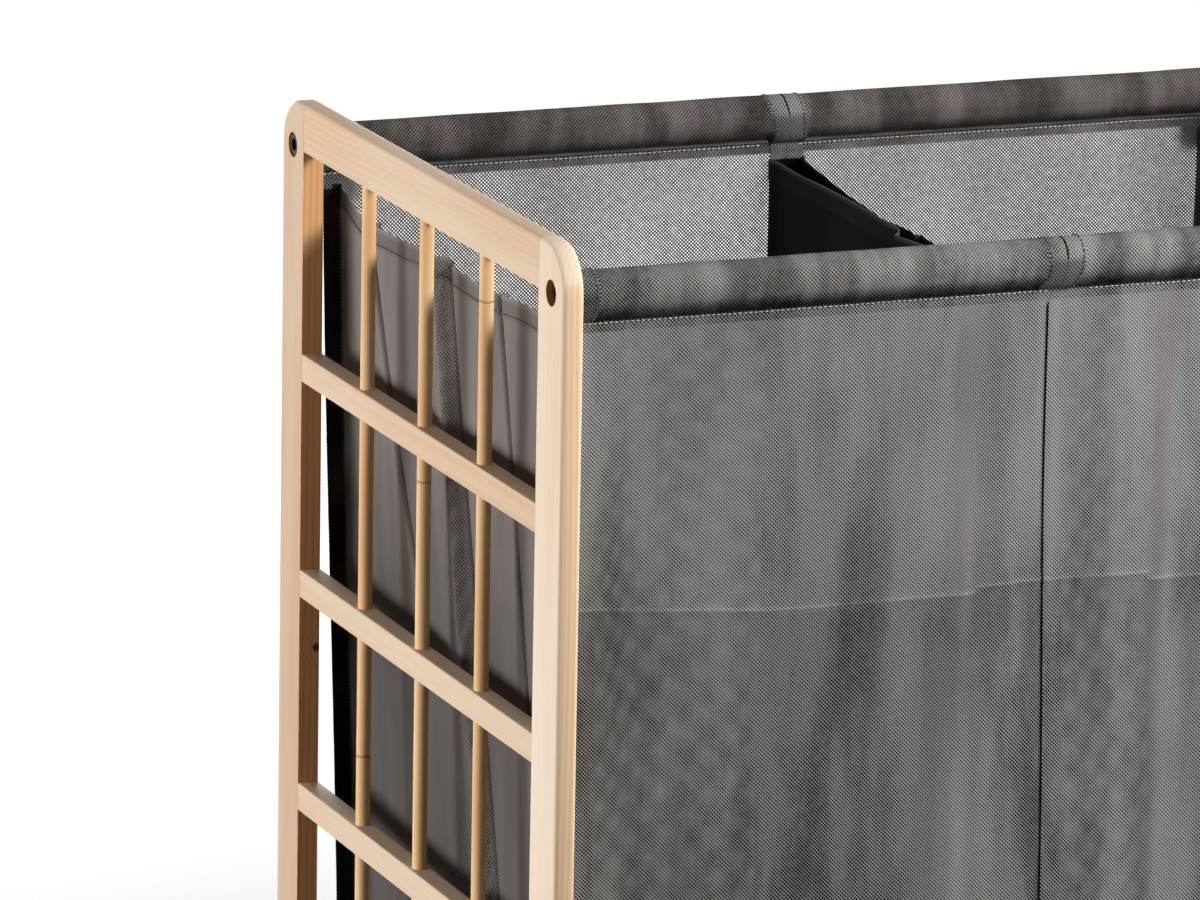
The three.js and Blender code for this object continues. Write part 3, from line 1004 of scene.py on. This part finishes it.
def band_sleeve(bag, bag_side, panel, side, end, is_far):
    """The hem band, and the route of its stitches round the rod."""
    rod_y = side * back_y
    inward = -side
    along = spaced(-allowance - hem_tail, 0, 0.0016)
    along += spaced(0, loop_length, sleeve_rows)[1:]
    seed = 5.3 * bag_side + 2.7 * side

    def place(share, way):
        if way < 0:
            offset, height = allowance_gap + hem_lift, -seam_drop + way
            away = Vector((1, 0))
        else:
            offset, height = sleeve_section(way)
            away = Vector((offset, height)).normalized()
        if is_far:
            x = bag_side * (frame_gap_x - 0.0008) - bag_side * sleeve_hem * share
        else:
            x = sleeve_end(bag_side, side, height + rod_z) + bag_side * sleeve_hem * share
        proud = hem_lift * (1 - 0.4 * share + 0.3 * ripple(way * 90, share * 2, seed))
        slack = puff(x, max(0, way), seed) + proud
        offset += away.x * slack
        height += away.y * slack + rod_z
        x += 0.0003 * ripple(way * 70, share, seed + 2) * share
        # Painted shade on the band's lower half, under the rod.
        upper = ease(height, rod_z - 0.001, rod_z + 0.003)
        mark = (band_tone[side] * (band_shade + (1 - band_shade) * upper), 0.1, 0.1 * upper)
        return (x, rod_y + inward * offset, height), (x + 0.0007, way + 0.0011), mark

    def stitch_route(way):
        point = Vector(place(band_seam, way)[0])
        out = Vector(place(band_seam, way + 0.0005)[0]) - Vector(place(band_seam, way - 0.0005)[0])
        return point, out.cross(Vector((inward, 0, 0))).normalized()

    band = lay_cloth(f"{bag}_{panel}_{end}_sleeve_hem", spaced(0, 1, 1 / 6), along, place, panel_weave)
    return band, (stitch_route, loop_length)


# Base. The bottom of each bag is a rectangle of the same cloth, sewn to the four panels with its margin
# turned down. It sags a little in the middle.
base_margin = 0.006
base_inset = 0.0004
base_sag = 0.004
base_lift = 0.0006


def lay_base(bag, bag_side):
    margin = [-base_margin, -base_margin * 0.4]
    far_margin = [base_margin * 0.4 + 1, base_margin + 1]
    across = margin + spaced(0, 1, 1 / 60) + far_margin
    along = margin + spaced(0, 1, 1 / 84) + far_margin

    def place(share_x, share_y):
        turned_x = max(0, -share_x) + max(0, share_x - 1)
        turned_y = max(0, -share_y) + max(0, share_y - 1)
        inside_x = min(1, max(0, share_x))
        inside_y = min(1, max(0, share_y))
        y = front_y + base_inset + (back_y - front_y - 2 * base_inset) * inside_y
        near = between(near_corner(bag_side, -1, bag_floor), near_corner(bag_side, 1, bag_floor), inside_y)
        far = between(far_corner(-1, bag_floor), far_corner(1, bag_floor), inside_y)
        x = near + (bag_side * far - near) * inside_x
        bowl = sin(pi * inside_x) ** 0.5 * sin(pi * inside_y) ** 0.5
        height = bag_floor + base_lift - base_sag * bowl * (1 + 0.5 * ripple(x * 14, y * 14, 3 + bag_side))
        height -= min(base_margin, turned_x + turned_y)
        return (x, y, height), (x, y), (1.0, end_clear, 0.2)

    sheet = lay_cloth(f"{bag}_base_cloth", across, along, place, panel_weave)
    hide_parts(f"{bag}_base")
    return sheet


# Sewing thread. Lockstitch rows in grey thread along the sleeve seams and in darker thread along the hems
# and corners: each stitch is a short arched length of thread that dips into the cloth at both ends.
stitch_length = 0.0024
stitch_gap = 0.0006
stitch_radius = 0.00035
stitch_arch = ((0, -0.4), (0.18, 0.6), (0.5, 1.0), (0.82, 0.6), (1, -0.4))
stitch_sides = 5
stitch_lift = 0.0004
seam_thread_drop = 0.001
seam_thread_ends = (0.012, 0.0015)
thread_pale = paint(222, 218, 211)
thread_dark = paint(72, 69, 67)


def thread_finish(name, tint):
    finish, tree, shader = new_finish(name)
    twist = speckle(own_place(tree), (2600.0,) * 3, 1.0)
    darker = tuple(0.55 * value for value in tint[:3]) + (1,)
    coat(shader, blend_of(fade(twist, 0.35, 0.65), darker, tint), 0.6, 0.5)
    raised(shader, twist, 0.3, 0.0001)
    return finish


pale_thread = thread_finish("pale_thread", thread_pale)
dark_thread = thread_finish("dark_thread", thread_dark)


def sew(name, stitch_rows, finish):
    """Each row is a function that gives a place and the way out of the cloth, and the row's length."""
    points, faces = [], []
    last_ring = len(stitch_arch) - 1
    for route, length in stitch_rows:
        count = int(length / (stitch_length + stitch_gap))
        for number in range(count):
            start = length * number / count
            ring_places = []
            for share, lift in stitch_arch:
                middle, out = route(start + stitch_length * share)
                ring_places.append(middle + out * (stitch_radius * lift))
            heading = (ring_places[-1] - ring_places[0]).normalized()
            aside = heading.cross(out).normalized()
            first = len(points)
            for ring, middle in enumerate(ring_places):
                size = stitch_radius * (0.6 if ring in (0, last_ring) else 1)
                for side in range(stitch_sides):
                    angle = side * 2 * pi / stitch_sides
                    points.append(middle + (aside * cos(angle) + out * sin(angle)) * size)
            for ring in range(last_ring):
                start_corner = first + ring * stitch_sides
                for side in range(stitch_sides):
                    corner = start_corner + side
                    beside = start_corner + (side + 1) % stitch_sides
                    faces.append((corner, beside, beside + stitch_sides, corner + stitch_sides))
            faces.append(tuple(first + side for side in reversed(range(stitch_sides))))
            faces.append(tuple(first + last_ring * stitch_sides + side for side in range(stitch_sides)))
    return sewn_piece(name, points, faces, finish)


def seam_row(bag_side, side, face):
    """Stitches along a sleeve's seam, on the cloth's outer face (1) or its inner one (-1)."""
    start = bag_half_gap + seam_thread_ends[0]
    end = frame_gap_x - seam_thread_ends[1]
    lift = stitch_lift if face > 0 else allowance_gap + stitch_lift

    def route(way):
        x = bag_side * (start + way)
        height = seam_z - seam_thread_drop + 0.0004 * ripple(x * 25, 0, side)
        return Vector((x, side * (back_y + face * lift), height)), Vector((0, side * face, 0))
    return route, end - start


for bag, bag_side, inner_end, outer_end, inner_rim in (
    ("left_bag", -1, "right", "left", left_inner_rim),
    ("right_bag", 1, "left", "right", right_inner_rim),
):
    dark_rows = []
    for panel, side in (("front", -1), ("back", 1)):
        sheet = hang_panel(bag, bag_side, panel, side)
        for end, is_far in ((outer_end, True), (inner_end, False)):
            band, row = band_sleeve(bag, bag_side, panel, side, end, is_far)
            dark_rows.append(row)
    for end, *cut in (
        (outer_end, True, outer_rim, outer_relief, outer_folds),
        (inner_end, False, inner_rim, inner_relief, inner_folds),
    ):
        sheet, row = hang_end(bag, bag_side, end, *cut)
        dark_rows.append(row)
    base = lay_base(bag, bag_side)
    pale_rows = [seam_row(bag_side, side, face) for side in (-1, 1) for face in (-1, 1)]
    sew(f"{bag}_sleeve_thread", pale_rows, pale_thread)
    sew(f"{bag}_hem_thread", dark_rows, dark_thread)

# Studio. A pale floor and a white surround, with soft lamps: a wide one square to the left end, the main one
# in front on the right and above, and weaker ones low in front, on the right, behind and high behind.
white = (1, 1, 1, 1)
black = (0, 0, 0, 1)
surround_level = 0.035
surround_tint = (1.0, 0.82, 0.66, 1)
floor_size = 30
floor_tint = paint(196, 195, 193)
floor_bounce = (0.1, 0.085, 0.07, 1)
floor_glow = (0.5, 1.0)
glow_reach = (0.45, 0.95)


def seen_by_eye(tree):
    """1 for what the camera sees straight, in a mirror or through glass, and 0 for light on the object."""
    path = tree.nodes.new("ShaderNodeLightPath")
    glossy = maths("MAXIMUM", path.outputs["Is Camera Ray"], path.outputs["Is Glossy Ray"])
    return maths("MAXIMUM", glossy, path.outputs["Is Transmission Ray"])


world = bpy.data.worlds.new("surround")
scene.world = world
world.use_nodes = True
world_tree = world.node_tree
backdrop = world_tree.nodes["Background"]
seen = seen_by_eye(world_tree)
feed(backdrop.inputs["Color"], blend_of(seen, surround_tint, white))
surround_seen = plus(times(seen, 1 - surround_level), surround_level)
feed(backdrop.inputs["Strength"], surround_seen)

floor_finish, floor_tree, floor_shader = new_finish("floor_paint")
floor_dust = speckle(own_place(floor_tree), (40.0,) * 3)
floor_roughness = fade(floor_dust, 0.2, 0.8, 0.88, 0.92)
floor_shader.inputs["Emission Color"].default_value = white
from_middle = vector_maths("LENGTH", own_place(floor_tree))["Value"]
far_off = fade(from_middle, *glow_reach)
glow = fade(from_middle, *glow_reach, *floor_glow)
paint_seen = blend_of(far_off, floor_tint, black)
floor_colour = blend_of(seen_by_eye(floor_tree), floor_bounce, paint_seen)
coat(floor_shader, floor_colour, floor_roughness, 0.1)
feed(floor_shader.inputs["Emission Strength"], times(seen_by_eye(floor_tree), glow))
floor_mesh = bpy.data.meshes.new("floor")
half_floor = floor_size / 2
corners = [(x * half_floor, y * half_floor, 0) for x, y in ((-1, -1), (1, -1), (1, 1), (-1, 1))]
floor_mesh.from_pydata(corners, [], [(0, 1, 2, 3)])
floor_mesh.materials.append(floor_finish)
floor = bpy.data.objects.new("floor", floor_mesh)
scene.collection.objects.link(floor)

lamp_aim = Vector((0, 0, 0.36))


def hang_lamp(name, azimuth, elevation, distance, width, height, level_of_light):
    """A soft lamp that lights a white surface facing it at the given level."""
    turn, tilt = radians(azimuth), radians(elevation)
    toward = Vector((sin(turn) * cos(tilt), -cos(turn) * cos(tilt), sin(tilt)))
    lamp = bpy.data.objects.new(name, bpy.data.lights.new(name, "AREA"))
    lamp.data.shape = "RECTANGLE"
    lamp.data.size = width
    lamp.data.size_y = height
    lamp.data.energy = level_of_light * pi ** 2 * distance ** 2
    lamp.location = lamp_aim + toward * distance
    lamp.visible_camera = False
    lamp.rotation_mode = "QUATERNION"
    lamp.rotation_quaternion = toward.to_track_quat("Z", "Y")
    scene.collection.objects.link(lamp)


hang_lamp("left_lamp", -98, 4, 3.2, 2.4, 1.1, 0.88)
hang_lamp("front_lamp", 33, 33, 1.7, 0.8, 0.5, 1.2)
hang_lamp("low_lamp", 28, 4, 1.9, 1.2, 0.3, 0.1)
hang_lamp("right_lamp", 82, 2, 2.8, 1.6, 0.5, 0.5)
hang_lamp("back_lamp", 172, 0, 2.8, 1.6, 0.4, 0.8)
hang_lamp("top_lamp", 150, 55, 2.6, 1.4, 1.4, 0.14)

scene.view_settings.view_transform = "Standard"
